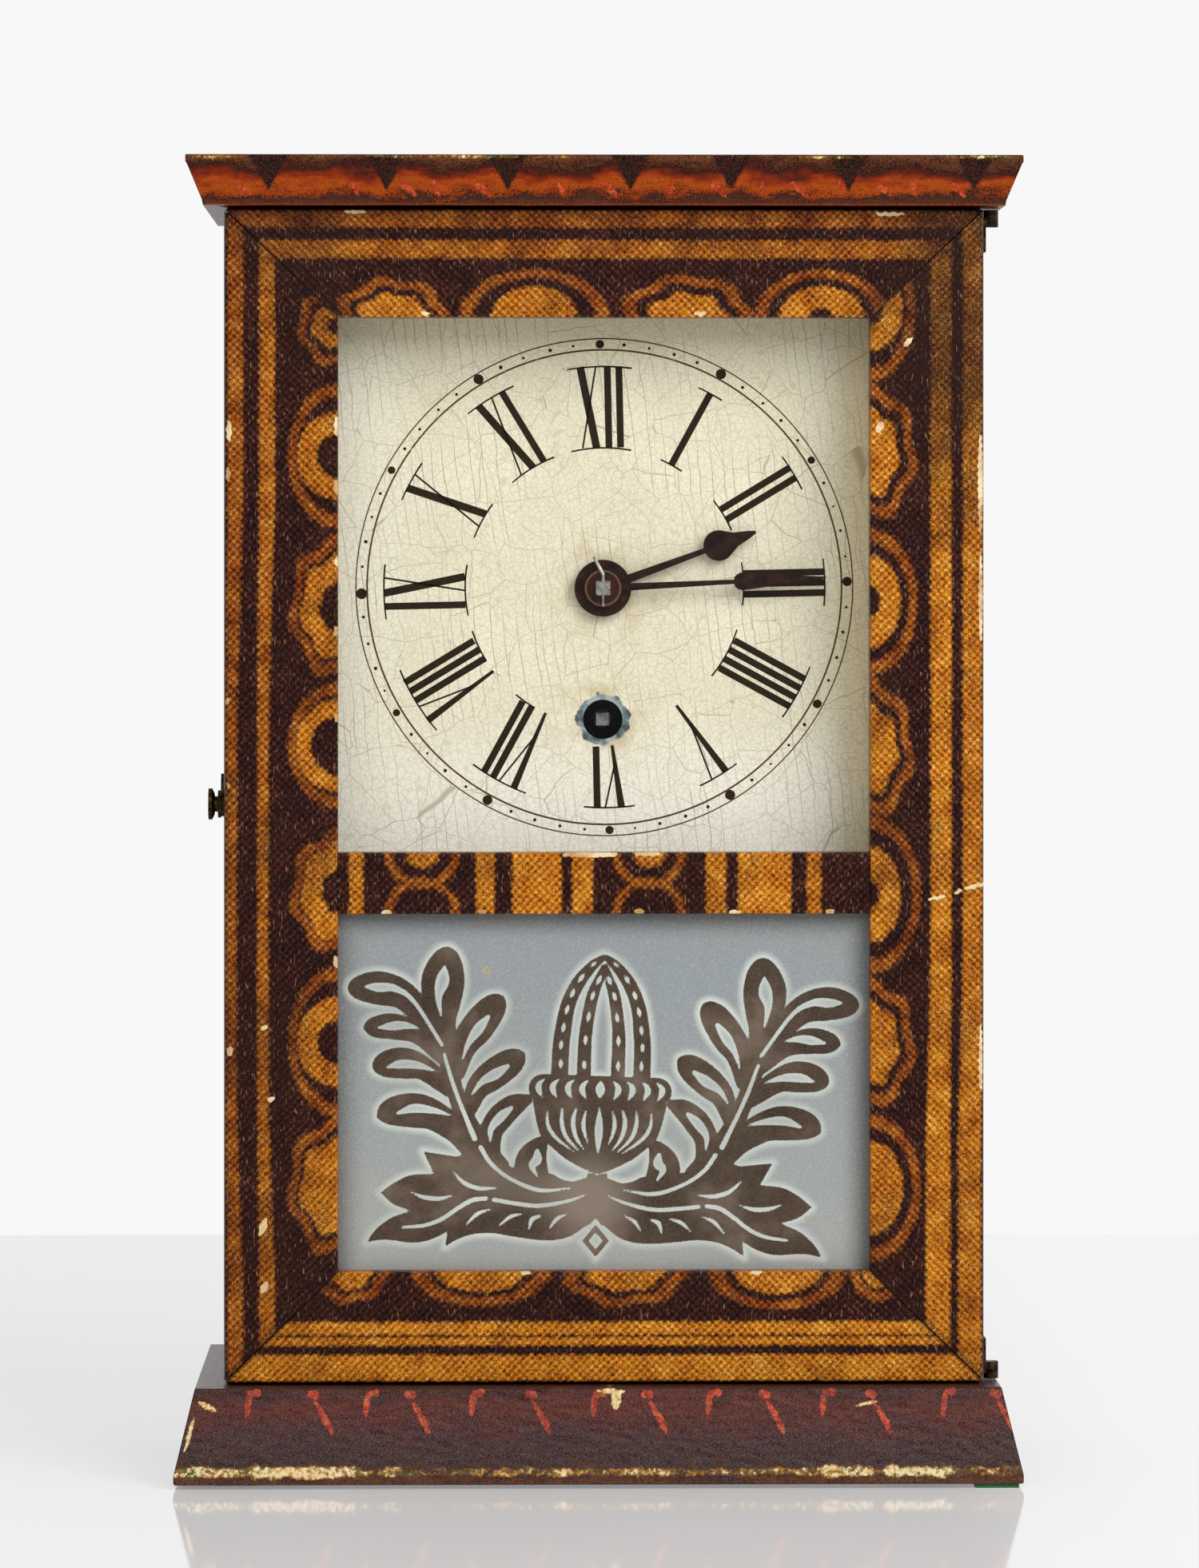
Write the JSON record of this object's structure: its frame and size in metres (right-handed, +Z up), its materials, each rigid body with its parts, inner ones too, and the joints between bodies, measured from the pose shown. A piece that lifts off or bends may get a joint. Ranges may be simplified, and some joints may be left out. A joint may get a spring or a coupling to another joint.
{
  "type": "shelf clock",
  "caption": "Small cottage shelf timepiece: box case with bevelled cornice and plinth, printed full-front door with two panes, painted dial, spring movement and pendulum.",
  "frame": {"origin": "middle of the outline on the surface that the felt feet stand on", "axes": "+Z up, the dial and door face -Y, +X to the viewer's right"},
  "size_m": [0.1945, 0.102, 0.305],
  "materials": {
    "pine": "unfinished pine, darkened",
    "painted_moulding": "grained paint under old varnish",
    "printed_paper": "embossed printed paper on wood, varnished",
    "clear_glass": "old clear window glass",
    "tablet_glass": "frosted and stencilled glass",
    "dial_paint": "crazed cream paint on zinc",
    "blued_steel": "dark blued steel",
    "bright_wire": "bright drawn wire",
    "steel": "turned steel",
    "sheet_brass": "stamped sheet brass",
    "old_brass": "dark tarnished brass",
    "green_felt": "felt"
  },
  "bodies": {
    "case": {"case_side_left": "pine", "case_side_right": "pine", "case_top_board": "pine", "case_bottom_board": "pine", "back_board": "pine", "cornice_front": "painted_moulding", "cornice_left": "painted_moulding", "cornice_right": "painted_moulding", "base_front": "painted_moulding", "base_left": "painted_moulding", "base_right": "painted_moulding", "glue_blocks": "pine", "felt_pads": "green_felt", "dial_strips": "pine", "movement_blocks": "pine", "hinge_ears_case": "old_brass", "hinge_pins": "steel", "catch_pin": "old_brass", "dial_plate": "dial_paint", "dial_tacks": "sheet_brass", "front_plate": "sheet_brass", "back_plate": "sheet_brass", "pillars": "sheet_brass", "pillar_nuts": "steel", "movement_screws": "steel", "mainspring": "steel", "suspension_post": "sheet_brass"},
    "door": {"door_top_rail": "printed_paper", "door_bottom_rail": "printed_paper", "door_left_stile": "printed_paper", "door_right_stile": "printed_paper", "door_middle_rail": "printed_paper", "dial_glass": "clear_glass", "tablet_glass": "tablet_glass", "glazing_beads": "pine", "hinge_ears_door": "old_brass", "latch_screw": "steel"},
    "latch": {"latch_hook": "old_brass", "latch_knob": "old_brass"},
    "minute_arbor": {"minute_hand": "blued_steel", "minute_pinion": "sheet_brass", "taper_pin": "bright_wire"},
    "hour_pipe": {"hour_hand": "blued_steel", "hour_wheel": "sheet_brass"},
    "minute_wheel": {"minute_wheel": "sheet_brass"},
    "escape_wheel": {"escape_wheel": "sheet_brass"},
    "third_wheel": {"third_wheel": "sheet_brass"},
    "centre_arbor": {"centre_wheel": "sheet_brass", "centre_arbor": "steel"},
    "main_wheel": {"main_wheel": "sheet_brass", "click_spring": "sheet_brass"},
    "winding_arbor": {"winding_arbor": "steel"},
    "click": {"click": "steel"},
    "verge": {"verge": "steel", "crutch": "steel"},
    "pendulum": {"suspension_spring": "bright_wire", "pendulum_rod": "sheet_brass", "pendulum_bob": "sheet_brass", "rating_nut": "sheet_brass"}
  },
  "joints": [
    {"name": "door_hinge", "type": "hinge", "parent": "case", "child": "door", "pos_m": [0.0896, -0.029, 0.158], "axis": [0, 0, 1], "range_deg": [0, 110]},
    {"name": "latch_turn", "type": "hinge", "parent": "door", "child": "latch", "pos_m": [-0.088, -0.032, 0.156], "axis": [-1, 0, 0], "range_deg": [0, 90]},
    {"name": "minute_hand_turn", "type": "hinge", "parent": "case", "child": "minute_arbor", "pos_m": [0, -0.024, 0.2058], "axis": [0, 1, 0], "continuous": true},
    {"name": "hour_hand_turn", "type": "hinge", "parent": "case", "child": "hour_pipe", "pos_m": [0, -0.022, 0.2058], "axis": [0, 1, 0], "continuous": true},
    {"name": "minute_wheel_turn", "type": "hinge", "parent": "case", "child": "minute_wheel", "pos_m": [0.012, -0.002, 0.2058], "axis": [0, 1, 0], "continuous": true},
    {"name": "escape_wheel_turn", "type": "hinge", "parent": "case", "child": "escape_wheel", "pos_m": [0, 0.0278, 0.2374], "axis": [0, 1, 0], "continuous": true},
    {"name": "third_wheel_turn", "type": "hinge", "parent": "case", "child": "third_wheel", "pos_m": [0.01174, 0.01, 0.22375], "axis": [0, 1, 0], "continuous": true},
    {"name": "centre_wheel_turn", "type": "hinge", "parent": "case", "child": "centre_arbor", "pos_m": [0, 0.022, 0.2058], "axis": [0, 1, 0], "continuous": true},
    {"name": "main_wheel_turn", "type": "hinge", "parent": "case", "child": "main_wheel", "pos_m": [0, 0.006, 0.1753], "axis": [0, 1, 0], "continuous": true},
    {"name": "winding_turn", "type": "hinge", "parent": "main_wheel", "child": "winding_arbor", "pos_m": [0, 0.008, 0.1753], "axis": [0, 1, 0], "continuous": true},
    {"name": "click_lift", "type": "hinge", "parent": "main_wheel", "child": "click", "pos_m": [-0.00581, 0.008, 0.16084], "axis": [0, -1, 0], "range_deg": [0, 8]},
    {"name": "pendulum_swing", "type": "hinge", "parent": "case", "child": "pendulum", "pos_m": [0, 0.0395, 0.25379], "axis": [0, 1, 0], "range_deg": [-4, 4]},
    {"name": "verge_rock", "type": "hinge", "parent": "case", "child": "verge", "pos_m": [0, 0.027, 0.25379], "axis": [0, 1, 0], "range_deg": [-4, 4]}
  ],
  "couplings": [
    {"joint": "hour_hand_turn", "follows": "minute_hand_turn", "ratio": 0.083333},
    {"joint": "minute_wheel_turn", "follows": "minute_hand_turn", "ratio": -0.33333},
    {"joint": "third_wheel_turn", "follows": "escape_wheel_turn", "ratio": -0.090909},
    {"joint": "centre_wheel_turn", "follows": "escape_wheel_turn", "ratio": 0.0075758},
    {"joint": "main_wheel_turn", "follows": "escape_wheel_turn", "ratio": -0.0012626},
    {"joint": "verge_rock", "follows": "pendulum_swing", "ratio": 1}
  ]
}
